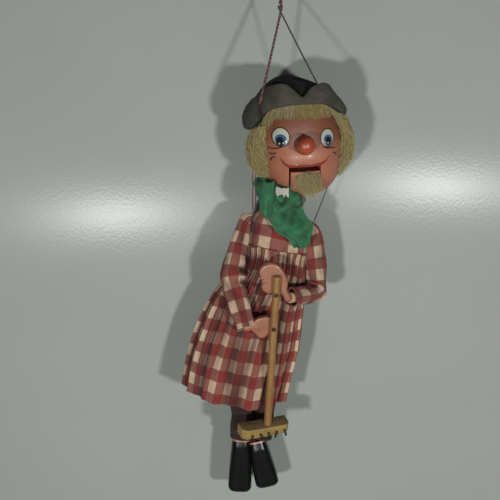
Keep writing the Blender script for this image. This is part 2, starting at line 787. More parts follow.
def paintPiece(name, parts):
    # several painted marks as one piece
    points = []
    faces = []
    slots = []
    names = list(dict.fromkeys(colour for rings, colour in parts))
    for rings, colour in parts:
        faces += tubeFaces(len(points), len(rings), len(rings[0]))
        points += [headFrame @ p for ring in rings for p in ring]
        slots += [names.index(colour)] * (len(faces) - len(slots))
    made = slotted(meshPiece(name, points, faces, *(paint[colour] for colour in names)), slots)
    settle(outward(made), "head", "flesh_paint")


eyes = {
    "eye_right": {"white": (-0.0189, 0.0078), "whiteHalf": (0.0057, 0.0067), "turn": 0,
                  "iris": (-0.0189, 0.0057), "irisHalf": (0.0042, 0.0047),
                  "pupil": (-0.0194, 0.0046), "pupilHalf": (0.0027, 0.0036), "spark": (-0.0199, 0.0030)},
    "eye_left": {"white": (0.0159, 0.0051), "whiteHalf": (0.0053, 0.0062), "turn": -2,
                 "iris": (0.0160, 0.0034), "irisHalf": (0.0037, 0.0043),
                 "pupil": (0.0161, 0.0026), "pupilHalf": (0.0025, 0.0033), "spark": (0.0158, 0.0012)},
}
eyeRim = 0.0008
sparkHalf = (0.00055, 0.00085)
for name, eye in eyes.items():
    rim = [half + eyeRim for half in eye["whiteHalf"]]
    paintPiece(name, [
        (paintDot(eye["white"], rim, 0.00010, 0.0, eye["turn"]), "line_brown"),
        (paintDot(eye["white"], eye["whiteHalf"], 0.00020, 0.00025, eye["turn"]), "eye_white"),
        (paintDot(eye["iris"], eye["irisHalf"], 0.00040, 0.00018), "iris_blue"),
        (paintDot(eye["pupil"], eye["pupilHalf"], 0.00056, 0.00016), "pupil_black"),
        (paintDot(eye["spark"], sparkHalf, 0.00072, 0.00008, 0, 14), "eye_white"),
    ])
# strokes: colour, width, places across and up the face
strokes = [
    ("line_brown", 0.0013, [(-0.0288, -0.0004), (-0.0262, -0.0008), (-0.0226, -0.0006), (-0.0180, 0.0004)]),
    ("line_brown", 0.0012, [(0.0112, -0.0012), (0.0168, -0.0026), (0.0236, -0.0036)]),
    ("line_brown", 0.0011, [(-0.0281, -0.0036), (-0.0258, -0.0050), (-0.0236, -0.0044), (-0.0230, -0.0034)]),
    ("line_brown", 0.0011, [(-0.0236, -0.0068), (-0.0258, -0.0080), (-0.0270, -0.0108)]),
    ("line_brown", 0.0010, [(0.0193, -0.0062), (0.0222, -0.0076), (0.0226, -0.0090)]),
    ("lip_red", 0.0031, [(-0.0204, -0.0080), (-0.0178, -0.0116), (-0.0146, -0.0139), (-0.0105, -0.0139),
                         (-0.0028, -0.0139), (0.0050, -0.0139), (0.0088, -0.0138), (0.0128, -0.0120),
                         (0.0166, -0.0084)]),
]
paintPiece("face_lines", [(brushLine(knots, width), colour) for colour, width, knots in strokes])
print("head carved and painted")

# hat: soft grey felt, the brim turned up in two lobes in front and hanging lower at the sides
hat = {
    "felt": 0.0017, "top": 0.0500, "radius": 0.0325, "shift": -0.003,
    "around": 180, "crownRows": 20, "brimRows": 28,
    "colour": (0.060, 0.057, 0.045), "deep": (0.032, 0.030, 0.023), "crown": (0.0055, 0.0064, 0.0047),
    "roll": 0.4, "rollSag": 0.0022, "darkRows": 27, "crease": -144, "dent": 0.0035,
    # round the brim: angle, height of the root, rise of the edge, reach of the roll, lean of the edge
    "brim": [(-180, 0.0150, 0.0200, 0.0085, 0.95), (-158, 0.0190, 0.0195, 0.0088, 0.90),
             (-144, 0.0272, 0.0143, 0.0034, 0.3), (-128, 0.0320, 0.0144, 0.0068, 0.4),
             (-108, 0.0345, 0.0123, 0.0066, 0.3), (-91, 0.0348, 0.0022, 0.0056, 0.2),
             (-78, 0.0345, 0.0093, 0.0062, 0.3), (-60, 0.0330, 0.0125, 0.0064, 0.5),
             (-38, 0.0275, 0.0092, 0.0058, 0.7), (0, 0.0185, 0.0060, 0.0062, 0.6),
             (45, 0.0150, 0.0080, 0.0070, 0.6), (90, 0.0140, 0.0130, 0.0078, 0.6),
             (135, 0.0140, 0.0170, 0.0085, 0.8), (180, 0.0150, 0.0200, 0.0085, 0.95)],
}


def feltFinish(name, colour, deep):
    mat, tree, shader = newFinish(name, 0.95, sheenWeight=0.03, sheenRoughness=0.6, specularIorLevel=0.2)
    where = coordsOf(tree)
    fuzz = speckle(tree, where, 1900.0, 6.0, 0.65)
    tint = ramp(tree, speckle(tree, where, 85.0, 3.0), (0.32, deep), (0.66, colour))
    tint = toned(tree, tint, fuzz, (0.3, 0.72), (0.68, 1.12))
    feed(tree, shader, folded(tree, tint, (0.0, 0.22), (1.0, 1.0)))
    relief(tree, shader, fuzz, 0.0006)
    return mat


def brimSpot(degrees, t, out=0.0):
    # t runs from the crown under the roll and up to the edge
    root, rise, reach, lean = alongRows(hat["brim"], degrees)
    side = ringSpot(math.radians(degrees))
    if t < hat["roll"]:
        swing = math.pi * t / hat["roll"]
        radius = hat["radius"] + reach * 0.45 * (1 - math.cos(swing))
        height = root - hat["rollSag"] * math.sin(swing)
    else:
        u = (t - hat["roll"]) / (1 - hat["roll"])
        radius = hat["radius"] + reach * (0.9 + 0.18 * math.sin(math.pi * u) - lean * u * u)
        height = root + rise * u + 0.0009 * noise.noise(side * 4.1 + acrossAxis * 3) * u
    radius += 0.0006 * noise.noise(side * 1.7 + upAxis * (t * 1.2)) + out
    return headSpot(hat["shift"] + radius * side.x, radius * side.y, height)


def crownSpot(degrees, b):
    # b runs from the top of the crown down to the brim's root
    a = math.radians(degrees)
    side = ringSpot(a)
    root = alongRows(hat["brim"], degrees)[0]
    radius = hat["radius"] * math.sin(b) ** 0.72 + 0.0008 * noise.noise(side * 1.7) * math.sin(b)
    dent = hat["dent"] * bell(side.dot(Vector((0.25, 1, 0))) * radius, 0.012) * math.cos(b)
    height = root + (hat["top"] - 0.004 * math.cos(a + 0.3) - root) * math.cos(b) ** 0.9 - dent
    return headSpot(hat["shift"] + radius * side.x, radius * side.y, height)


def hatSpot(step, c):
    degrees = -180 + 360 * c / hat["around"]
    if step <= hat["crownRows"]:
        return crownSpot(degrees, math.pi / 2 * (step + 0.25) / (hat["crownRows"] + 0.25)), 1.0
    side = between(-140, -154, degrees) * between(-180, -166, degrees)
    depth = 1 - 0.40 * side - 0.85 * bell(degrees - hat["crease"], 4.0)
    return brimSpot(degrees, (step - hat["crownRows"]) / hat["brimRows"]), depth


def makeHat():
    greyFelt = feltFinish("grey_felt", hat["colour"], hat["deep"])
    crownFelt = feltFinish("crown_felt", hat["crown"], scaled(hat["crown"], 0.6))
    last = hat["crownRows"] + hat["brimRows"]
    rows, depths = netOf(last, hat["around"], hatSpot)
    made = marked(gridPiece("felt_hat", rows, [greyFelt, crownFelt]), depths)
    shape = bmesh.new()
    shape.from_mesh(made.data)
    shape.verts.ensure_lookup_table()
    shape.faces.new([shape.verts[c] for c in range(hat["around"])])  # close the small ring at the crown's top
    shape.to_mesh(made.data)
    shape.free()
    outward(smoothed(made))
    for face in made.data.polygons:
        row = face.index // hat["around"]
        face.material_index = 1 if row < hat["darkRows"] or row >= last else 0
    modified(made, "SOLIDIFY", thickness=hat["felt"], offset=0.0)
    settle(outward(made), "head", "grey_felt", "hat")


makeHat()
print("hat shaped")

# strings: two cords twist together under the knot, part over the hat and go in through its brim
twist = {"knot": (0.0, 0.0, -0.0162), "part": (0.0004, 0.0, -0.0304), "pitch": 0.0078, "radius": 0.00085,
         "fade": 0.0034, "steps": 8}
# over the brim: angle, place on the brim, how far out
headStrings = {
    "head_cord_right": {"phase": 0.0, "ply": 0.00058, "pitch": 0.0064, "gap": 0.0007, "wide": 0.0023,
                        "twines": [redTwine, darkTwine], "opens": 1.1, "end": (-0.0167, 0.0, -0.0992),
                        "brim": [(-139, 1.0, 0.0011), (-141, 0.84, 0.0016), (-143, 0.68, 0.0010),
                                 (-144, 0.60, -0.0030)],
                        "nodes": ("twisted_strings", "head_string_right")},
    "head_cord_left": {"phase": math.pi, "ply": 0.00040, "pitch": 0.004, "gap": 0.0009, "wide": 0.0016,
                       "twines": [darkTwine], "opens": 0.0, "end": (0.0435, 0.0, -0.0985),
                       "brim": [(-71, 1.0, 0.0010), (-67, 0.78, 0.0014), (-62, 0.52, 0.0008),
                                (-60, 0.42, -0.0040)],
                       "nodes": ("head_string_left",)},
}
# from the ear eyes down to the shoulders: twine, top and bottom
lowerStrings = {
    "shoulder_cord_right_front": (redTwine, (-0.0186, 0.0, -0.1415), (-0.0184, 0.002, -0.1818)),
    "shoulder_cord_right_rear": (redTwine, (-0.0208, 0.003, -0.1415), (-0.0206, 0.004, -0.1822)),
    "shoulder_cord_left": (darkTwine, (0.0468, 0.002, -0.1410), (0.0282, 0.002, -0.1915)),
}
lowerString = {"ply": 0.000264, "pitch": 0.0036, "gap": 0.0009, "sag": 0.0002, "wide": 0.0011}
# the loop at the very top: its bight stays on the hook, its knot swings with the strings
loop = {"ply": 0.00034, "pitch": 0.0030, "gap": 0.0005, "wide": 0.0013, "bight": 0.0006,
        "neck": (0, 0, -0.0095),
        "side": [(0.0006, -0.0128), (0.0013, -0.0114), (0.0026, -0.0090), (0.0031, -0.0056),
                 (0.0031, -0.0028), (0.0022, -0.0004)]}
knot = {"ply": 0.00052, "gap": 0.0004, "radius": 0.0011, "top": -0.0118, "first": -0.0120, "drop": 0.00078,
        "halfTurns": 5, "stepsPerHalf": 9, "low": -0.0164}


def twistOffset(height, phase):
    # the two cords wind round each other between the knot and the parting
    part = twist["part"][2]
    if height < part:
        return Vector((0, 0, 0))
    fade = between(part, part + twist["fade"], height)
    return ringSpot(2 * math.pi * height / twist["pitch"] + phase) * twist["radius"] * fade


def hangHeadString(name, plan):
    top, part = Vector(twist["knot"]), Vector(twist["part"])
    wound = [top.lerp(part, i / twist["steps"]) for i in range(twist["steps"] + 1)]
    knots = [p + twistOffset(p.z, plan["phase"]) for p in wound]
    knots += [brimSpot(*spot) for spot in plan["brim"]] + [Vector(plan["end"])]
    path = evenPath(knots, plan["gap"])
    made = pliedCord(name, path, plan["ply"], 2, plan["pitch"], plan["twines"],
                     lambda t: 1.0 + plan["opens"] * between(0.70, 0.90, t))
    start, end = path[0], path[-1]
    slung(made, "strings", "head", start * 0.45 + end * 0.55, end * 0.8 + start * 0.2, "string",
          *plan["nodes"])


def hangLowerString(name, twine, top, bottom):
    low = top.lerp(bottom, 0.66) - upAxis * lowerString["sag"]
    path = evenPath([top, top.lerp(bottom, 0.33), low, bottom], lowerString["gap"])
    made = pliedCord(name, path, lowerString["ply"], 2, lowerString["pitch"], [twine])
    slung(made, "head", "torso", path[0], path[-1], "string", name.replace("cord", "string"))


def hangLoop():
    knots = [Vector((-x, 0, z)) for x, z in loop["side"]] + [upAxis * loop["bight"]]
    knots += [Vector((x, 0, z)) for x, z in reversed(loop["side"])]
    path = evenPath(knots, loop["gap"])
    made = pliedCord("hanging_cord", path, loop["ply"], 2, loop["pitch"], [redTwine])
    slung(made, "hanger", "strings", (0, 0, 0), loop["neck"], "string", "hanging_loop")


def tieKnot():
    turns = [upAxis * knot["top"]]
    for k in range(knot["halfTurns"] * knot["stepsPerHalf"] + 1):
        half = k / knot["stepsPerHalf"]
        turns.append(ringSpot(math.pi * half, knot["radius"], knot["first"] - knot["drop"] * half))
    path = evenPath(turns + [upAxis * knot["low"]], knot["gap"])
    settle(pliedCord("hanging_knot", path, knot["ply"], 2, loop["pitch"], [redTwine]), "strings", "string")


for name, plan in headStrings.items():
    hangHeadString(name, plan)
for name, (twine, top, bottom) in lowerStrings.items():
    hangLowerString(name, twine, Vector(top), Vector(bottom))
hangLoop()
tieKnot()
print("strings hung")

# hair and beard: strand paths worked out here, swept into tapering hairs by one node tree
hair = {"seed": 11, "sideStrands": 2900, "fringeStrands": 1900, "radius": 0.00017, "tip": 0.45,
        "frizz": 0.0020, "wave": 0.0014, "low": -0.0262, "nape": 0.004, "cheekLift": 0.020,
        "fringeTop": 0.0368, "fringeLow": 0.0228, "fringeHalf": 84, "earLevel": -0.004, "turn": 6.28,
        "colour": (0.300, 0.230, 0.077), "deep": (0.195, 0.148, 0.044), "pale": (0.375, 0.305, 0.122)}
wig = {"top": 0.027, "tall": 0.0455, "rows": 24, "columns": 120, "open": 76, "wall": 0.0010, "shade": 0.22}
beard = {"seed": 5, "strands": 1100, "radius": 0.00016, "tip": 0.4, "frizz": 0.0014, "half": 0.0066,
         "top": -0.0188, "tall": 0.0080, "short": 0.0035, "long": 0.0130, "curl": 0.0016}


def mohairFinish():
    mat, tree, shader = newFinish("straw_mohair", 0.62, sheenWeight=0.3, sheenRoughness=0.45)
    shade = addNode(tree, "Attribute", attribute_name="shade").outputs["Fac"]
    streak = speckle(tree, stretched(tree, coordsOf(tree), (1, 1, 0.15)), 900.0, 3.0)
    mixed = maths(tree, "ADD", maths(tree, "MULTIPLY", shade, 0.75), maths(tree, "MULTIPLY", streak, 0.25))
    feed(tree, shader, ramp(tree, mixed, (0.15, hair["deep"]), (0.5, hair["colour"]), (0.85, hair["pale"])))
    return mat


def strandTree():
    tree = bpy.data.node_groups.new("hair_strands", "GeometryNodeTree")
    for label, kind in (("Strands", "Geometry"), ("Thickness", "Float"), ("Tip", "Float"), ("Frizz", "Float"),
                        ("Sides", "Int"), ("Seed", "Int"), ("Finish", "Material")):
        tree.interface.new_socket(label, in_out="INPUT", socket_type="NodeSocket" + kind)
    tree.interface.new_socket("Hair", in_out="OUTPUT", socket_type="NodeSocketGeometry")
    given = tree.nodes.new("NodeGroupInput").outputs

    def shape(kind, sockets=None):
        return addNode(tree, kind, sockets, "GeometryNode").outputs

    along = shape("SplineParameter")["Factor"]
    curve = shape("MeshToCurve", {0: given["Strands"]})[0]
    # small kinks, growing towards the tip
    wobble = addNode(tree, "TexNoise", noise_dimensions="4D",
                     sockets={"Scale": 260.0, "Detail": 1.0, "W": given["Seed"]}).outputs["Color"]
    centred = addNode(tree, "VectorMath", {0: wobble, 1: (0.5, 0.5, 0.5)}, operation="SUBTRACT").outputs[0]
    amount = maths(tree, "MULTIPLY", along, given["Frizz"])
    kink = addNode(tree, "VectorMath", operation="SCALE", sockets={0: centred, "Scale": amount}).outputs[0]
    moved = shape("SetPosition", {"Geometry": curve, "Offset": kink})[0]
    span = {"Value": along, "From Min": 0.25, "To Min": 1.0, "To Max": given["Tip"]}
    taper = addNode(tree, "MapRange", span)
    thick = maths(tree, "MULTIPLY", taper.outputs["Result"], given["Thickness"])
    ring = shape("CurvePrimitiveCircle", {"Resolution": given["Sides"], "Radius": 1.0})["Curve"]
    swept = shape("CurveToMesh", {"Curve": moved, "Scale": thick, "Profile Curve": ring,
                                  "Fill Caps": True})[0]
    solid = shape("RealizeInstances", {0: swept})[0]
    dressed = shape("SetMaterial", {"Geometry": solid, "Material": given["Finish"]})[0]
    tree.links.new(dressed, tree.nodes.new("NodeGroupOutput").inputs[0])
    return tree


mohair = mohairFinish()
hairTree = strandTree()


def sweepStrands(name, strands, plan):
    points = []
    edges = []
    shades = []
    for path, shade in strands:
        first = len(points)
        points += [tuple(p) for p in path]
        shades += [shade] * len(path)
        edges += [(first + i, first + i + 1) for i in range(len(path) - 1)]
    mesh = bpy.data.meshes.new(name)
    mesh.from_pydata(points, edges, [])
    made = marked(addPiece(name, mesh), shades, "shade")
    sweep = made.modifiers.new("strands", "NODES")
    sweep.node_group = hairTree
    values = {"Thickness": plan["radius"], "Tip": plan["tip"], "Frizz": plan["frizz"], "Sides": 3,
              "Seed": plan["seed"], "Finish": mohair}
    for item in hairTree.interface.items_tree:
        if item.in_out == "INPUT" and item.name in values:
            sweep[item.identifier] = values[item.name]
    return smoothed(applied(made))


def sideStrand(dice, sign):
    away = dice.uniform(60 if sign > 0 else 66, 180)  # degrees round from the nose
    a = math.radians(-90 + sign * away)
    layer = dice.uniform(0.0, 1.0) ** 0.6
    lock = ripple(a, 5.0, layer * 1.5)
    turn = (-90 + sign * away + 180) % 360 - 180
    top = min(dice.uniform(0.016, 0.030), alongRows(hat["brim"], turn)[0] - 0.0036)  # kept under the brim
    low = hair["low"] + 0.0035 * lock + dice.uniform(-0.0030, 0.0075) - hair["nape"] * between(110, 180, away)
    low += hair["cheekLift"] * (1 - between(62, 84, away)) * dice.random()
    phase = dice.uniform(0, hair["turn"])
    turns = hair["turn"] * dice.uniform(0.8, 1.9)
    thick = 0.0068 - (0.0030 * between(130, 75, away) if sign > 0 else 0.0)
    wave = hair["wave"] * (2.6 if dice.random() < 0.22 else 1.0)  # some strands stray
    ears = hair["earLevel"]
    path = []
    for i in range(10):
        t = i / 9
        z = top + (low - top) * t
        skull = skullRadius(z) if z > ears else head["wide"] - 0.0006 * between(ears, -0.03, z)
        fluff = 0.0010 + layer * (0.0026 + thick * math.sin(math.pi * min(1.0, 0.12 + 0.78 * t)))
        tuck = 0.0062 * between(0.62, 1.0, t) ** 1.6
        r = skull + fluff + wave * 0.8 * math.sin(phase + turns * t) - tuck
        b = a + (wave * math.cos(phase * 1.7 + turns * t) + 0.0014 * lock * t) / r
        path.append(headFrame @ ringSpot(b, r, z))
    return path, clamped(0.55 + 0.25 * lock + dice.uniform(-0.28, 0.28) + 0.15 * (layer - 0.5))


def fringeStrand(dice):
    half = hair["fringeHalf"]
    away = dice.uniform(-half, half)
    a = math.radians(-90 + away)
    lock = noise.noise(Vector((away * 0.11, 7.3, 1.1)))
    top = hair["fringeTop"] - 0.007 * (abs(away) / half) ** 2
    low = hair["fringeLow"] + 0.0022 * lock + dice.uniform(-0.0030, 0.0034)
    low -= 0.0150 * between(40, half, abs(away))
    sweep = dice.uniform(-0.0024, 0.0024) + 0.0018 * lock + 0.0020 * away / 72
    layer = dice.uniform(0.0004, 0.0042)
    path = []
    for i in range(7):
        t = i / 6
        z = top + (low - top) * t
        r = skullRadius(z) + layer * (1 - 0.6 * t * t) + 0.0004
        path.append(headFrame @ ringSpot(a + sweep * t * t / r, r, z))
    return path, clamped(0.55 + 0.3 * lock + dice.uniform(-0.3, 0.3))


def beardStrand(dice):
    across = max(-1.2, min(1.2, dice.gauss(0.0, 0.55)))
    x = -0.0004 + beard["half"] * across
    z = beard["top"] - beard["tall"] * dice.random() ** 1.3 - 0.0012 * abs(across)
    root = faceSpot(x, z, -0.0006)
    lock = noise.noise(Vector((x * 340, z * 200, 2.0)))
    length = dice.uniform(beard["short"], beard["long"]) * (1 - 0.35 * across * across)
    length *= 1.4 if dice.random() < 0.25 else 1.0
    aside = 0.34 * across + 0.06 + 0.25 * lock + dice.uniform(-0.22, 0.22)
    lean = Vector((aside, -0.30 + dice.uniform(-0.2, 0.2), -1.0)).normalized()
    out = Vector((0.2 * across, -1.0, 0.75 * between(-0.0215, -0.0190, z))).normalized()
    puff = dice.uniform(0.0006, 0.0034)
    phase = dice.uniform(0, hair["turn"])
    path = []
    for i in range(8):
        t = i / 7
        curl = Vector((math.sin(phase + 7 * t), math.cos(phase + 6 * t), 0.4 * math.sin(phase + 5 * t)))
        spot = root + lean * length * t + out * puff * (1 - (1 - t) ** 2) + curl * beard["curl"] * t
        path.append(headFrame @ spot)
    return path, clamped(0.78 + 0.3 * lock + dice.uniform(-0.25, 0.25))


def wigSpot(step, c):
    t = step / wig["rows"]
    z = wig["top"] - wig["tall"] * t
    away = wig["open"] + (360 - 2 * wig["open"]) * c / wig["columns"]
    full = between(wig["open"], 96, min(away, 360 - away)) * math.sin(math.pi * (0.1 + 0.8 * t))
    thick = 0.0006 + 0.0042 * full
    r = (skullRadius(z) if z > hair["earLevel"] else head["wide"]) + thick
    r += 0.0005 * math.sin(c * 1.9 + 2.0 * noise.noise(Vector((c * 0.2, step * 0.2, 0))))
    return headFrame @ ringSpot(math.radians(-90 + away), r, z), wig["shade"]


def makeHair():
    dice = random.Random(hair["seed"])
    parts = {}
    for side, sign in sides.items():
        parts[side + "_locks"] = [sideStrand(dice, sign) for k in range(hair["sideStrands"])]
    parts["fringe"] = [fringeStrand(dice) for k in range(hair["fringeStrands"])]
    for name, strands in parts.items():
        settle(sweepStrands("mohair_" + name, strands, hair), "head", "straw_mohair", "hair")
    # knitted under-layer so no scalp shows between the hairs
    rows, shades = netOf(wig["rows"], wig["columns"] + 1, wigSpot)
    base = marked(outward(gridPiece("wig_base", rows, [mohair], ring=False)), shades, "shade")
    modified(base, "SOLIDIFY", thickness=wig["wall"], offset=-1.0)
    settle(outward(base), "head", "straw_mohair")


def makeBeard():
    dice = random.Random(beard["seed"])
    strands = [beardStrand(dice) for k in range(beard["strands"])]
    settle(sweepStrands("mohair_beard", strands, beard), "jaw", "straw_mohair", "beard")


makeHair()
makeBeard()
print("hair and beard combed")

# checked cotton: red and cream stripes cross, with the mixed tone where they meet
gingham = {"check": 0.0092, "thread": 0.00055, "red": (0.230, 0.023, 0.018), "mixed": (0.265, 0.090, 0.062),
           "cream": (0.62, 0.44, 0.295)}


def ginghamFinish(name, shift):
    mat, tree, shader = newFinish(name, 0.9, sheenWeight=0.05, sheenRoughness=0.5)
    where = stretched(tree, coordsOf(tree, "UV"), (1, 1, 1), shift=(*shift, 0))
    parts = addNode(tree, "SeparateXYZ", {0: where}).outputs
    stripes = []
    for axis in (0, 1):
        swing = maths(tree, "SINE", maths(tree, "MULTIPLY", parts[axis], math.pi / gingham["check"]))
        stripes.append(maths(tree, "MULTIPLY_ADD", swing, 5.0, clamp=True))
    both = maths(tree, "MULTIPLY", maths(tree, "ADD", *stripes), 0.5)
    weave = weaveOf(tree, where, gingham["thread"])
    slub = speckle(tree, stretched(tree, where, (1, 0.15, 1)), 1300.0, 3.0)
    tint = ramp(tree, both, (0.0, gingham["cream"]), (0.5, gingham["mixed"]), (1.0, gingham["red"]))
    tint = toned(tree, tint, slub, (0.3, 0.80), (0.68, 1.08))
    tint = toned(tree, tint, speckle(tree, coordsOf(tree), 70.0, 3.0), (0.3, 0.84), (0.65, 1.04))
    feed(tree, shader, folded(tree, tint, (0.05, (0.34, 0.26, 0.26)), (0.5, 0.86), (0.9, 1.08)))
    relief(tree, shader, maths(tree, "ADD", weave, slub), 0.00013)
    return mat


# smock: a plain yoke, then a skirt drawn up in fine gathers that open into soft folds at the hem
smock = {
    "length": 0.159, "gather": 0.195, "wall": 0.0007, "clothAround": 46 * gingham["check"],
    "around": 528, "rows": 74, "fine": 64, "fineDepth": 0.0013, "folds": 12, "foldDepth": 0.0024,
    "foldStart": 0.26, "phase": -1.65, "pleats": 34, "pleatDepth": 0.0017, "crumple": 0.0007,
    "heading": 0.0016, "hemLift": 0.0058, "skew": 0.0034,
    # share of the length, sideways shift, half width, half depth
    "plan": [(0.012, 0.0, 0.0160, 0.0143), (0.055, 0.0, 0.0229, 0.0158), (0.19, 0.0006, 0.0242, 0.0170),
             (0.30, 0.0016, 0.0258, 0.0177), (0.40, -0.0014, 0.0313, 0.0188), (0.52, -0.0054, 0.0367, 0.0206),
             (0.70, -0.0074, 0.0411, 0.0249), (0.86, -0.0088, 0.0424, 0.0300),
             (1.0, -0.0088, 0.0417, 0.0340)],
}
yoke = {"top": 0.004, "long": 0.216, "flat": 0.0345, "around": 144, "rows": 30, "checks": 16}
smockCloth = ginghamFinish("smock_gingham", (0.002, 0.0))
yokeCloth = ginghamFinish("yoke_gingham", (0.0035, 0.003))
sleeveCloth = ginghamFinish("sleeve_gingham", (0.001, 0.002))


def smockSpot(a, share, out=0.0, lift=0.0):
    shift, wide, deep = alongRows(smock["plan"], share)
    power = 2.8 - 0.6 * between(0.25, 0.45, share)
    c, s = math.cos(a), math.sin(a)
    if c > 0 and s > 0:
        power += 1.4 * between(0.45, 0.7, share)  # room behind for the left leg to swing
    x = wide * bulged(c, 2 / power)
    y = deep * bulged(s, 2 / power)
    facing = Vector((x / wide ** 2, y / deep ** 2, 0)).normalized()
    return torsoSpot(shift + x + facing.x * out, y + facing.y * out, -share * smock["length"] + lift)


def skirtFold(a, share, t):
    # the solid's own folds, with finer pleats running down from the gathers
    opened = max(0.0, share - smock["foldStart"]) / (1 - smock["foldStart"])
    spread = a + 0.15 * math.sin(2 * a + 0.6)
    main = math.cos(smock["folds"] * spread + smock["phase"])
    fine = math.cos(smock["fine"] * a + 1.5 * math.sin(3 * a)) * (1 - between(0.05, 0.55, t))
    pleats = math.cos(smock["pleats"] * spread + 2.0 * math.sin(2 * a) + 0.9 * t)
    pleats *= between(0.0, 0.2, t) * (1 - 0.6 * between(0.5, 1.0, t))
    uneven = 0.5 + 0.5 * ripple(a, 2.6, t * 0.8)
    depth = smock["foldDepth"] * opened * main + smock["fineDepth"] * fine
    return depth + smock["pleatDepth"] * pleats * (0.4 + 1.2 * uneven)


def armShade(spot):
    # the dim hollows between the bodice and the arms
    if spot.y > 0.004:
        return 0.0
    right = -0.0205 - 0.007 * between(-0.19, -0.235, spot.z) + 0.0085 * between(-0.240, -0.262, spot.z)
    low = 1 - between(-0.262, -0.282, spot.z)
    return low * (0.62 * bell(spot.x - right, 0.0052) + 0.35 * bell(spot.x - 0.0235, 0.004))


def skirtSpot(step, c):
    t = step / smock["rows"]
    a = turnOf(c, smock["around"])
    share = smock["gather"] + (1 - smock["gather"]) * t
    out = skirtFold(a, share, t) + smock["crumple"] * ripple(a, 3, t * 4.0) + smock["heading"] * bell(t, 0.03)
    lift = 0.0010 * ripple(a, 4, 6.0) * between(0.6, 1.0, t)
    lift += smock["hemLift"] * between(0.35, 1.0, math.cos(a)) * t * t
    spot = smockSpot(a, share, out, lift)
    dim = armShade(spot) + 0.20 * between(-0.45, -0.85, math.cos(a))
    return spot, 0.60 + out / 0.0036 + 0.34 * ripple(a, 2.4, t * 2.6) - dim


def yokeSpot(step, c):
    t = step / yoke["rows"]
    a = turnOf(c, yoke["around"])
    share = yoke["top"] + yoke["long"] * t
    out = 0.0007 * ripple(a, 2.4, share * 30) + 0.00035 * math.cos(20 * a) * bell(share - 0.2, 0.03)
    spot = smockSpot(a, max(smock["plan"][0][0], share), out, 0.0006 * math.sin(6 * a) * (1 - t))
    return spot, 0.6 + out / 0.0030 - armShade(spot)


def makeSmock():
    down = (1 - smock["gather"]) * smock["length"]

    def skirtMap(r, c):
        # the cloth pulled a little out of square
        a, t = turnOf(c, smock["around"]), r / smock["rows"]
        aside, drop = (smock["skew"] * ripple(a, 2.2, t * 2.4 + seed) for seed in (0.0, 9.0))
        return smock["clothAround"] * c / smock["around"] + aside, -down * t + drop

    def yokeMap(r, c):
        around = yoke["checks"] * gingham["check"]
        return around * c / yoke["around"], -yoke["long"] * smock["length"] * r / yoke["rows"]

    net = netOf(smock["rows"], smock["around"], skirtSpot)
    made, area = clothPiece("smock_skirt", net, smockCloth, smock["wall"], skirtMap)
    settle(made, "torso", "red_gingham", "smock")
    net = netOf(yoke["rows"], yoke["around"], yokeSpot)
    made, area = clothPiece("smock_yoke", net, yokeCloth, smock["wall"], yokeMap)
    settle(made, "torso", "red_gingham")


makeSmock()
print("smock gathered")

# sleeves: checked tubes from the shoulder over the elbow to a stitched cuff
sleeve = {"wall": 0.0007, "checks": 8, "around": 72, "gap": 0.00095, "crease": 0.0016, "soft": 0.0010,
          "inside": (0.0105, 0.0022), "seam": (0.0022, 0.0002), "seamDrop": 0.002, "bendIn": 0.0026,
          "bendReach": 0.010, "split": 0.55,
          "turnIn": [(0.86, 0.0004), (0.66, 0.0012), (0.50, 0.0022)],  # share of the radius, way back
          "cuffGap": {"right": -0.0008, "left": 0.0030}, "mouth": {"right": 0.0042, "left": 0.0056},
          # share of the way, radius, sideways shift
          "right": [(0.0, 0.0056, 0.0), (0.09, 0.0058, 0.0), (0.25, 0.0070, 0.0), (0.42, 0.0086, -0.0003),
                    (0.54, 0.0094, -0.0006), (0.75, 0.0084, 0.0), (1.0, 0.0075, 0.0)],
          "left": [(0.0, 0.0064, 0.0), (0.09, 0.0078, -0.0004), (0.25, 0.0088, -0.0018),
                   (0.42, 0.0088, -0.0026), (0.55, 0.0080, -0.0022), (0.75, 0.0074, -0.0004),
                   (1.0, 0.0070, 0.0)]}


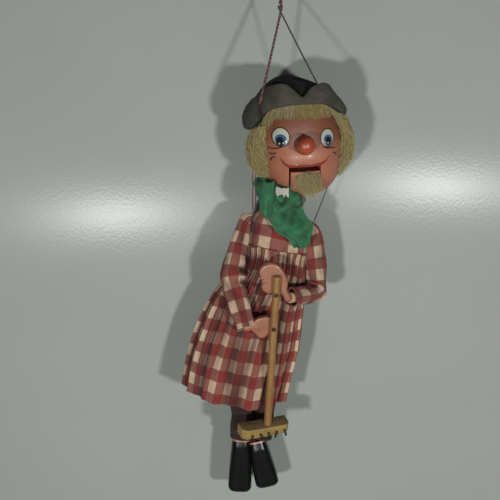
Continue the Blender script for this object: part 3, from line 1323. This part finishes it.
def makeSleeve(side):
    sign = sides[side]
    top, bend, end = (joints[joint + "_" + side] for joint in ("shoulder", "elbow", "wrist"))
    upper = (bend - top).normalized()
    fore = (end - bend).normalized()
    tip = end - fore * sleeve["cuffGap"][side]
    spin = torsoFrame.to_3x3()
    inside, seam = (top + spin @ Vector((-sign * x, 0, z)) for x, z in (sleeve["inside"], sleeve["seam"]))
    knots = [inside, seam + upper * sleeve["seamDrop"],
             top.lerp(bend, 0.35), top.lerp(bend, 0.72), bend - (upper - fore) * sleeve["bendIn"],
             bend.lerp(tip, 0.38), bend.lerp(tip, 0.72), tip]
    path = evenPath(knots, sleeve["gap"])
    last = len(path) - 1
    total = pathLength(path)
    elbowAt = min(range(len(path)), key=lambda i: (path[i] - bend).length) / last
    split = int(len(path) * elbowAt * sleeve["split"])
    inner = (fore - upper).normalized()
    hint = deepAxis
    rows = []
    depths = []
    for i, spot in enumerate(path):
        s = i / last
        ringFrame = frameAlong(spot, stepAlong(path, i, 2), hint).to_3x3()
        hint = ringFrame @ acrossAxis
        radius, aside = alongRows(sleeve[side], s)
        fromElbow = (s - elbowAt) * total
        fromCuff = (1 - s) * total
        row = []
        dips = []
        for c in range(sleeve["around"]):
            a = turnOf(c, sleeve["around"])
            facing = ringFrame @ ringSpot(a)
            pinch = 0.25 + max(0.0, facing.dot(inner))
            out = sleeve["crease"] * bell(fromElbow, 0.013) * pinch * math.cos(fromElbow / 0.0021)
            out += sleeve["soft"] * ripple(a, 1.3, s * total * 95 + 5 * sign)
            out += 0.0007 * math.sin(3 * a + s * 9 + sign) * between(0.05, 0.3, s)  # drag lines
            out += 0.0004 * math.cos(14 * a) * bell(s - 0.08, 0.06)  # gathers at the shoulder
            out += 0.0005 * bell(fromCuff, 0.0022) - 0.0004 * bell(fromCuff - 0.0035, 0.0006)  # hem, seam
            row.append(spot + acrossAxis * aside + facing * (radius + out))
            dips.append(0.62 + out / 0.0028)
        rows.append(row)
        depths.append(dips)
    for inset, back in sleeve["turnIn"]:
        wide = max(inset, sleeve["mouth"][side] / radius)
        rows.append([tip + (p - tip) * wide - fore * back for p in rows[last]])
        depths.append([0.25 * inset - 0.05] * sleeve["around"])
    around = sleeve["checks"] * gingham["check"]
    parts = {
        "upper": (0, split, "torso", "upper_arm_" + side, path[int(split * 0.2)], path[int(split * 0.85)]),
        "lower": (split, len(rows) - 1, "upper_arm_" + side, "forearm_" + side,
                  bend - upper * sleeve["bendReach"], bend + fore * sleeve["bendReach"]),
    }
    for part, (low, high, above, below, start, stop) in parts.items():
        net = (rows[low:high + 1], [v for dips in depths[low:high + 1] for v in dips])
        made, area = clothPiece("sleeve_cloth_" + part + "_" + side, net, sleeveCloth, sleeve["wall"],
                                lambda r, c: (around * c / sleeve["around"], -total * (r + low) / last))
        slung(made, above, below, start, stop, "red_gingham", "sleeve_" + part + "_" + side)


for side in sides:
    makeSleeve(side)
print("sleeves sewn")

# rake: pine dowel and block, bent wire tines; both hands are set out from it
rake = {"side": 2.9, "forward": 7.0, "nail": (-0.0031, -0.0425, -0.2394), "radius": 0.0030, "above": 0.0145,
        "below": 0.117, "rim": 0.0006, "around": 32, "headShift": -0.0026, "headLong": 0.041,
        "headDeep": 0.0125, "headTall": 0.0085, "headSink": 0.62, "yaw": 24.0, "tip": 7.0,
        "chamfer": 0.0035, "edge": 0.00055,
        "tineGap": 0.0070, "tineShift": 0.0012, "tineRadius": 0.00080, "tineLong": 0.0042, "tineLift": 0.0034,
        "tineBends": (-0.0010, 0.0014, 0.0004, -0.0012, 0.0012)}
leanSide = math.radians(rake["side"])
leanAhead = math.radians(rake["forward"])
rakeUp = Vector((math.sin(leanSide) * math.cos(leanAhead), -math.sin(leanAhead),
                 math.cos(leanSide) * math.cos(leanAhead)))
rakeOut = (-deepAxis + rakeUp * rakeUp.y).normalized()
rakeSide = rakeUp.cross(rakeOut)
rakeFrame = Matrix.Translation(rake["nail"]) @ Matrix((rakeSide, -rakeOut, rakeUp)).transposed().to_4x4()
headLevel = rake["headTall"] * rake["headSink"] - rake["below"]
headYaw, headTip = math.radians(rake["yaw"]), math.radians(rake["tip"])
rakeHeadFrame = (rakeFrame @ Matrix.Translation((rake["headShift"], 0, headLevel))
                 @ Matrix.Rotation(headYaw, 4, "Z") @ Matrix.Rotation(headTip, 4, "X"))

# hands: painted mittens pinned to the rake by a nail each
mitten = {"long": 0.031, "half": 0.0092, "thick": 0.006, "layers": 14,
          "angle": {"right": 80.0, "left": -29.0},
          "size": {"right": (0.80, 0.84, 0.0), "left": (1.06, 1.02, 0.0034)},  # length, width, shift aside
          "lines": {"right": (), "left": (0.60, 0.70, 0.80)}, "lineRadius": 0.00024, "crisp": 48,
          # from the wrist round the fingers to the thumb, in shares of the size
          "outline": [(0.16, -0.34), (0.23, -0.52), (0.34, -0.80), (0.48, -0.97), (0.70, -1.0), (0.89, -0.80),
                      (0.98, -0.42), (1.0, 0.0), (0.98, 0.42), (0.90, 0.74), (0.76, 0.92), (0.66, 0.96),
                      (0.60, 1.10), (0.52, 1.26), (0.42, 1.26), (0.34, 1.06), (0.28, 0.76), (0.21, 0.50),
                      (0.16, 0.34)],
          # wrist: radius and height, then radius and share of the length
          "wrist": [(0.0, -0.0030), (0.0017, -0.0026), (0.0029, -0.0010), (0.0031, 0.001), (0.0029, 0.0045)],
          "heel": [(0.0033, 0.26), (0.0030, 0.32), (0.0, 0.33)]}


def makeHand(side):
    wrist = joints["wrist_" + side]
    spin = math.radians(mitten["angle"][side])
    fingers = (rakeUp * math.cos(spin) + rakeSide * math.sin(spin)).normalized()
    handFrame = frameAlong(wrist, rakeOut, fingers)
    grow, swell, aside = mitten["size"][side]

    def handSpot(along, across, share, level):
        # along and across in shares of the mitten; the shift aside grows towards the fingers
        y = sides[side] * across * mitten["half"] * swell + aside * (0.4 + 0.6 * share)
        return handFrame @ Vector((along * mitten["long"] * grow, y, level * mitten["thick"]))

    flat = smoothPath([(a, b, 0) for a, b in mitten["outline"]], 5)
    rows = []
    for k in range(mitten["layers"] + 1):
        a = math.pi * k / mitten["layers"]
        level = bulged(-math.cos(a), 0.75) / 2
        inset = 0.80 + (0.20 * math.sin(a) ** 0.55 if 0 < k < mitten["layers"] else 0.0)
        rows.append([handSpot(0.55 + (p.x - 0.55) * inset, p.y * inset, p.x, level) for p in flat])
    made = outward(gridPiece("mitten_" + side, rows, [paint["hand_paint"]], cap=True))
    profile = mitten["wrist"] + [(r, share * mitten["long"]) for r, share in mitten["heel"]]
    neckFrame = frameAlong(wrist, fingers, rakeOut)
    carved(made, lathePiece("neck", profile, neckFrame, 20, paint["hand_paint"]), "UNION")
    for k, share in enumerate(mitten["lines"][side]):  # painted finger grooves across the back of the fist
        across = [handSpot(share, b, share, 0.503) for b in (1.0, 0.85, 0.68)]
        line = pliedCord("finger_line_" + str(k + 1), evenPath(across, 0.0006), mitten["lineRadius"], 1, 0.01,
                         [paint["line_brown"]])
        settle(line, "hand_" + side, "flesh_paint")
    settle(smoothed(made, mitten["crisp"]), "hand_" + side, "flesh_paint", "hand_" + side)


for side in sides:
    makeHand(side)
print("hands carved")


def turnTo(direction):
    return [math.degrees(v) for v in direction.to_track_quat("Z", "Y").inverted().to_euler()]


def makeDowel():
    pine = woodGrain("dowel_pine", (0.256, 0.129, 0.034), (0.190, 0.085, 0.019), 0.42, 0.2, turnTo(rakeUp))
    low, high, r, rim = -rake["below"], rake["above"], rake["radius"], rake["rim"]
    profile = [(0.0, low), (r * 0.97, low), (r, low + rim)]
    for k in range(1, 25):
        profile.append((r * (1 + 0.008 * math.sin(k * 1.3)), low + rim + (high - low - 2 * rim) * k / 24))
    profile += [(r * 0.80, high - 0.0001), (0.0, high)]
    made = lathePiece("rake_dowel", profile, rakeFrame, rake["around"], pine)
    settle(smoothed(made, 40), "hand_left", "yellow_pine", "rake_handle")


def makeBlock():
    spin = rakeHeadFrame.to_3x3()
    grain = (turnTo(spin @ acrossAxis), (0.3, 0, 0))
    side = woodGrain("block_pine", (0.285, 0.193, 0.052), (0.202, 0.121, 0.029), 0.45, 0.15, *grain)
    top = woodGrain("block_top", (0.15, 0.098, 0.042), (0.10, 0.062, 0.026), 0.6, 0.0, *grain)
    half, deep, cut = rake["headLong"] / 2, rake["headDeep"] / 2, rake["chamfer"]
    plan = [(-half, -deep + cut), (-half + cut, -deep), (half - cut, -deep), (half, -deep + cut),
            (half, deep), (-half, deep)]
    rows = [[rakeHeadFrame @ Vector((x, y, z)) for x, y in plan] for z in (-rake["headTall"], 0.0)]
    made = edged(outward(gridPiece("rake_block", rows, [side, top], cap=True)), rake["edge"], 3, 25)
    slotted(made, [int(face.normal.dot(spin @ upAxis) > 0.8) for face in made.data.polygons])
    settle(made, "hand_left", "yellow_pine", "rake_head")


def makeTines():
    middle = (len(rake["tineBends"]) - 1) / 2
    for k, bend in enumerate(rake["tineBends"]):
        start = Vector(((k - middle) * rake["tineGap"] + rake["tineShift"], 0.0012 - rake["headDeep"] / 2,
                        rake["tineLift"] - rake["headTall"]))
        moves = [(0, 0, 0), (0, -0.0021, 0.0003), (bend * 0.5, -0.0029, -0.0012),
                 (bend, -0.0030, -rake["tineLong"])]
        path = [rakeHeadFrame @ p for p in evenPath([start + Vector(move) for move in moves], 0.0006)]
        made = pliedCord("tine_" + str(k + 1), path, rake["tineRadius"], 1, 0.01, [darkNail])
        settle(made, "hand_left", "dark_nails", "rake_tine_" + str(k + 1))


makeDowel()
makeBlock()
makeTines()
print("rake fitted")

# trousers, leg ends and boots
trouser = {"wall": 0.0008, "wide": 0.0090, "cuff": 0.0088, "cuffGap": {"right": 0.0078, "left": 0.0112},
           "outer": {"right": 0.0012, "left": 0.0002}, "below": 0.012, "bend": 0.008,
           "around": 56, "rows": 64, "flat": 0.05, "crumple": 0.0009}
peg = {"foot": {"right": 0.0095, "left": 0.0105}, "radius": 0.0050, "eyes": (0.0036, 0.0040),
       "eyeHalf": 0.0014, "neckHalf": 0.0013, "crisp": 40}
boot = {"toes": {"right": 0.0418, "left": 0.0350}, "splay": {"right": -2.0, "left": 13.0}, "forward": 5.0,
        "half": 0.0098, "heel": 0.0145, "toe": 0.0105, "outer": 0.0011, "around": 48, "rows": 56,
        "square": 3.2, "crisp": 38,
        "rim": {"right": 0.0064, "left": 0.0079}, "sock": {"right": 0.0042, "left": 0.0063},
        "slot": ((-0.0022, -0.0054, -0.0046), (0.0022, 0.0056, 0.03)),  # room for the leg peg
        # share of the toe's length, share of the width, share of the thickness
        "plan": [(-1.0, 0.74, 0.62), (-0.985, 0.80, 0.70), (-0.945, 0.93, 0.80), (-0.90, 1.0, 0.85),
                 (-0.55, 0.97, 0.92), (-0.25, 0.90, 1.0), (0.0, 0.83, 1.0), (0.16, 0.76, 0.94),
                 (0.32, 0.72, 0.88)]}


def makeTrouser(side):
    hip, knee, ankle = (joints[joint + "_" + side] for joint in ("hip", "knee", "ankle"))
    down = (ankle - hip).normalized()
    top = hip + down * trouser["below"]
    long = (ankle - down * trouser["cuffGap"][side] - top).length
    legFrame = frameAlong(top, -down, acrossAxis)

    def trouserSpot(step, c):
        t = step / trouser["rows"]
        a = turnOf(c, trouser["around"])
        r = trouser["wide"] + (trouser["cuff"] - trouser["wide"]) * t
        r += trouser["crumple"] * ripple(a, 1.4, t * 9 + 4 * sides[side])
        r += 0.0005 * math.sin(2 * a + 22 * t) * between(0.3, 0.8, t) + 0.0005 * bell((1 - t) * long, 0.002)
        return legFrame @ ringSpot(a, r, -long * t) + acrossAxis * (sides[side] * trouser["outer"][side]), 1.0

    net = netOf(trouser["rows"], trouser["around"], trouserSpot)
    made, area = clothPiece("trouser_leg_" + side, net, brownCloth, trouser["wall"], lambda r, c: (
        trouser["flat"] * c / trouser["around"], -long * r / trouser["rows"]))
    slung(made, "thigh_" + side, "shin_" + side, knee - down * trouser["bend"], knee + down * trouser["bend"],
          "brown_trousers", "trouser_upper_" + side, "trouser_lower_" + side)


def makeLegPeg(side):
    # turned lower leg: a flat eye at the knee, a thin neck and a round eye in the boot
    knee, ankle = joints["knee_" + side], joints["ankle_" + side]
    long = (knee - ankle).length
    pegFrame = frameAlong(ankle, knee - ankle, acrossAxis)
    foot, r = peg["foot"][side], peg["radius"]
    profile = [(0.0, foot), (0.0030, foot + 0.0002), (0.0046, foot + 0.0015), (r, foot + 0.0035),
               (r, long - 0.0085), (0.0046, long - 0.0075), (0.0, long - 0.0072)]
    made = lathePiece("leg_peg_" + side, profile, pegFrame, 32, paint["leg_paint"])
    for middle, reach in zip((0.0, long), peg["eyes"]):
        ring = [ringSpot(turnOf(c, 28), reach) for c in range(28)]
        faces = (-peg["eyeHalf"], peg["eyeHalf"])
        rows = [[pegFrame @ Vector((x, p.x, middle + p.y)) for p in ring] for x in faces]
        carved(made, outward(gridPiece("eye", rows, [paint["leg_paint"]], cap=True)), "UNION")
    for low, high in ((0.001, 0.0135), (long - 0.0085, long - 0.001)):
        neck = boxCutter((-peg["neckHalf"], -0.0001, low), (peg["neckHalf"], 0.0021, high), pegFrame)
        carved(made, neck, "UNION")
    settle(smoothed(made, peg["crisp"]), "shin_" + side, "flesh_paint", "shin_" + side)


def makeBoot(side):
    hip, ankle = joints["hip_" + side], joints["ankle_" + side]
    down = (ankle - hip).normalized()
    legAxis = (-acrossAxis + down * down.x).normalized()
    splay, ahead = math.radians(boot["splay"][side]), math.radians(boot["forward"])
    aim = Vector((math.sin(splay) * math.cos(ahead), -math.sin(ahead), -math.cos(splay) * math.cos(ahead)))
    bootFrame = frameAlong(ankle, -aim, -legAxis)
    toe = boot["toes"][side]
    sole = boot["heel"] * 0.5
    square = 2 / boot["square"]
    rows = []
    slots = []
    for step in range(boot["rows"] + 1):
        height = -toe + (toe + boot["rim"][side]) * step / boot["rows"]
        share = height / toe
        wide, tall = alongRows(boot["plan"], share)
        thick = (boot["heel"] + (boot["toe"] - boot["heel"]) * max(0.0, -share)) * tall
        row = []
        for c in range(boot["around"]):
            a = turnOf(c, boot["around"])
            x = boot["half"] * wide * bulged(math.cos(a), square)
            y = min(sole, sole - thick * 0.38 + thick * 0.62 * bulged(math.sin(a), square))
            row.append(bootFrame @ Vector((x, y, height)) - acrossAxis * boot["outer"])
        rows.append(row)
        slots.append(int(height > boot["sock"][side]))
    made = gridPiece("boot_" + side + "_last", rows, [paint["black_gloss"], paint["leg_paint"]], cap=True)
    slotted(made, [slot for slot in slots[:-1] for c in range(boot["around"])] + [0, 1])
    carved(outward(made), boxCutter(*boot["slot"], bootFrame))
    settle(smoothed(made, boot["crisp"]), "boot_" + side, "black_gloss", "boot_" + side)


for side in sides:
    makeTrouser(side)
    makeBoot(side)
    makeLegPeg(side)
print("legs dressed")

# scarf: a wrap round the neck, a bib with a crumpled tail, a fold hanging at the puppet's right
scarf = {"wall": 0.0007, "chin": (0.0012, -0.0005, -0.158), "chest": (0.0012, -0.0005, -0.188),
         "centre": (0.0012, -0.0005, -0.1688), "reach": 0.0150, "thick": 0.0046, "tall": 0.0078,
         "tilt": 0.0058, "wrapRows": 96, "wrapAround": 40, "wrapFlat": (0.11, 0.04),
         "tailRows": 90, "tailColumns": 64, "tailFlat": (0.034, 0.052), "bibEnd": 0.44, "tailStart": 0.30,
         "tuck": 0.0016, "pressAt": (0, -0.0152, 0), "pressKeep": 0.08,
         "foldRows": 48, "foldColumns": 36, "foldFlat": (0.014, 0.028),
         # share down, left edge, right edge, depth, height
         "tail": [(0.0, -0.0100, 0.0148, -0.0178, -0.1600), (0.15, -0.0110, 0.0160, -0.0208, -0.1665),
                  (0.30, -0.0115, 0.0166, -0.0226, -0.1736), (0.42, -0.0108, 0.0182, -0.0233, -0.1795),
                  (0.52, -0.0088, 0.0228, -0.0236, -0.1848), (0.62, -0.0058, 0.0252, -0.0236, -0.1901),
                  (0.75, -0.0022, 0.0250, -0.0234, -0.1963), (0.85, 0.0060, 0.0240, -0.0232, -0.2010),
                  (0.93, 0.0098, 0.0229, -0.0230, -0.2049), (1.0, 0.0112, 0.0204, -0.0228, -0.2081)],
         # share down, middle, half width, depth, height
         "fold": [(0.0, -0.0085, 0.0040, -0.0178, -0.1572), (0.2, -0.0096, 0.0056, -0.0208, -0.1640),
                  (0.45, -0.0100, 0.0060, -0.0228, -0.1715), (0.7, -0.0102, 0.0052, -0.0240, -0.1780),
                  (0.9, -0.0100, 0.0036, -0.0240, -0.1826), (1.0, -0.0098, 0.0020, -0.0236, -0.1846)]}
scrap = {"wall": 0.0005, "left": -0.0032, "wide": 0.0098, "top": -0.1600, "depth": -0.0248,
         "rows": 8, "columns": 32, "flat": (0.010, 0.008)}
thread = {"ply": 0.00042, "pitch": 0.003, "gap": 0.0006,
          "knots": [(0.0138, -0.0225, -0.1660), (0.0162, -0.0238, -0.1682), (0.0166, -0.0240, -0.1720),
                    (0.0156, -0.0240, -0.1752), (0.0140, -0.0236, -0.1768)]}


def hungScarf(piece, slot="green_scarf"):
    # cloth under the chin gives way as the head and the body tip towards each other
    return slung(piece, "head", "torso", scarf["chin"], scarf["chest"], slot)


def ridged(x, y, z):
    # sharp crests and round hollows
    return 1 - 2.6 * abs(noise.noise(Vector((x, y, z))))


def evenMap(flat, columns, rows, first=0):
    return lambda r, c: (flat[0] * c / columns, flat[1] * (r + first) / rows)


def wrapSpot(step, c):
    a, b = turnOf(step, scarf["wrapRows"]), turnOf(c, scarf["wrapAround"])
    full = 0.5 - 0.5 * math.cos(a)  # fuller on the puppet's right
    ridge = 0.0010 * math.sin(4 * b + 2 * a) + 0.0014 * ridged(math.cos(a) * 2.2, math.sin(a) * 2.2, b * 0.9)
    r = scarf["reach"] + (scarf["thick"] * (0.8 + 0.2 * full) + ridge) * math.cos(b)
    z = (scarf["tall"] * (0.55 + 0.45 * full) + ridge) * math.sin(b) - scarf["tilt"] * math.cos(a)
    return Vector(scarf["centre"]) + ringSpot(a, r, z), 0.5 + ridge / 0.0034


def tailSpot(step, c):
    # gathers at the neck that break into angular folds further down
    t, u = step / scarf["tailRows"], c / scarf["tailColumns"]
    left, right, y, z = alongRows(scarf["tail"], t)
    out = 0.0017 * math.cos(17 * u + 5 * t + 0.5) * (1 - between(0.2, 0.65, t))
    out += 0.0027 * ridged(u * 2.1 + 1.6 * t, t * 3.4 - 1.3 * u, 0.4) * between(0.02, 0.25, t)
    out += 0.0013 * ridged(u * 3.9 + 2 * t + 4, t * 6.5, 2.2)
    wave = 0.0014 * noise.noise(Vector((t * 7, u * 2, 8.0)))
    drop = 0.0014 * noise.noise(Vector((u * 4.0, 3.0, 1.0))) * between(0.7, 1.0, t)
    edge = 0.0040 * (2 * u - 1) ** 2
    return Vector((left + (right - left) * u + wave, y - out + edge, z + wave + drop)), 0.46 + out / 0.0050


def foldSpot(step, c):
    t, u = step / scarf["foldRows"], 2 * c / scarf["foldColumns"] - 1
    x, half, y, z = alongRows(scarf["fold"], t)
    out = 0.0042 * (1 - u * u) + 0.0010 * ridged(u * 1.2 + 2, t * 2.2, 5.1) + 0.0006 * math.cos(8 * u + 3 * t)
    wave = 0.0008 * noise.noise(Vector((t * 6, u, 3.0)))
    return Vector((x + half * u + wave, y - out, z + 0.0016 * u * u)), 0.08 + out / 0.0062


def scrapSpot(step, c):
    t, u = step / scrap["rows"], c / scrap["columns"]
    tooth = abs((u * 2.4 + 0.2 * math.sin(9 * u)) % 1.0 - 0.5) * 2  # torn edge
    y = scrap["depth"] - 0.0016 * t + 0.0022 * (2 * u - 1) ** 2 + 0.0004 * math.sin(11 * u)
    z = scrap["top"] - 0.0008 * tooth * (1 - t) - (0.0048 + 0.0026 * (1 - tooth)) * t - 0.0010 * u
    return Vector((scrap["left"] + scrap["wide"] * u, y, z)), 1.0


def makeTail():
    # sewn in two: a gathered bib under the chin, and the tail that comes out from under it
    steps, across = scarf["tailRows"], scarf["tailColumns"]
    rows, depths = netOf(steps, across + 1, tailSpot)
    last, first = int(steps * scarf["bibEnd"]), int(steps * scarf["tailStart"])
    upper = rows[:last + 1]
    net = (upper, depths[:len(upper) * (across + 1)])
    bib, area = clothPiece("scarf_bib", net, greenCloth, scarf["wall"],
                           evenMap(scarf["tailFlat"], across, steps), False, 0.0)
    hungScarf(bib)
    lower = []
    for r in range(first, steps + 1):
        under = deepAxis * (scarf["tuck"] * (1 - between(last - 4, last + 8, r)))
        lower.append([p + under for p in rows[r]])
    net = (lower, depths[first * (across + 1):])
    tail, area = clothPiece("scarf_tail", net, greenCloth, scarf["wall"],
                            evenMap(scarf["tailFlat"], across, steps, first), False, 0.0)
    settle(tail, "torso", "green_scarf", "scarf")
    # pressed flat by raised hands
    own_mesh(tail)


def makeScarf():
    rows, depths = netOf(scarf["wrapRows"] - 1, scarf["wrapAround"], wrapSpot)
    flat = scarf["wrapFlat"]
    wrap = gridPiece("scarf_wrap", rows, [greenCloth], True, lambda r, c: (
        flat[0] * r / scarf["wrapRows"], flat[1] * c / scarf["wrapAround"]), loop=True)
    hungScarf(outward(marked(wrap, depths)))
    makeTail()
    net = netOf(scarf["foldRows"], scarf["foldColumns"] + 1, foldSpot)
    spread = evenMap(scarf["foldFlat"], scarf["foldColumns"], scarf["foldRows"])
    hungScarf(clothPiece("scarf_fold", net, greenCloth, scarf["wall"], spread, False, 0.0)[0])
    # a white scrap tucked in, and a short thread end looped beside the tail
    net = netOf(scrap["rows"], scrap["columns"] + 1, scrapSpot)
    spread = evenMap(scrap["flat"], scrap["columns"], scrap["rows"])
    hungScarf(clothPiece("neck_scrap", net, whiteCloth, scrap["wall"], spread, False, 0.0)[0], "white_cotton")
    path = evenPath(thread["knots"], thread["gap"])
    hungScarf(pliedCord("scarf_thread", path, thread["ply"], 2, thread["pitch"], [darkTwine]))


makeScarf()
print("scarf tied")

# the cord through the body that carries both arms
armCord = {"ply": 0.0004, "pitch": 0.004, "gap": 0.0012, "level": -0.014,
           "stops": (-0.027, -0.009, 0.009, 0.027)}
path = evenPath([torsoSpot(x, 0.0, armCord["level"]) for x in armCord["stops"]], armCord["gap"])
made = pliedCord("arm_cord", path, armCord["ply"], 2, armCord["pitch"], [darkTwine])
settle(made, "torso", "string", "shoulder_cord")
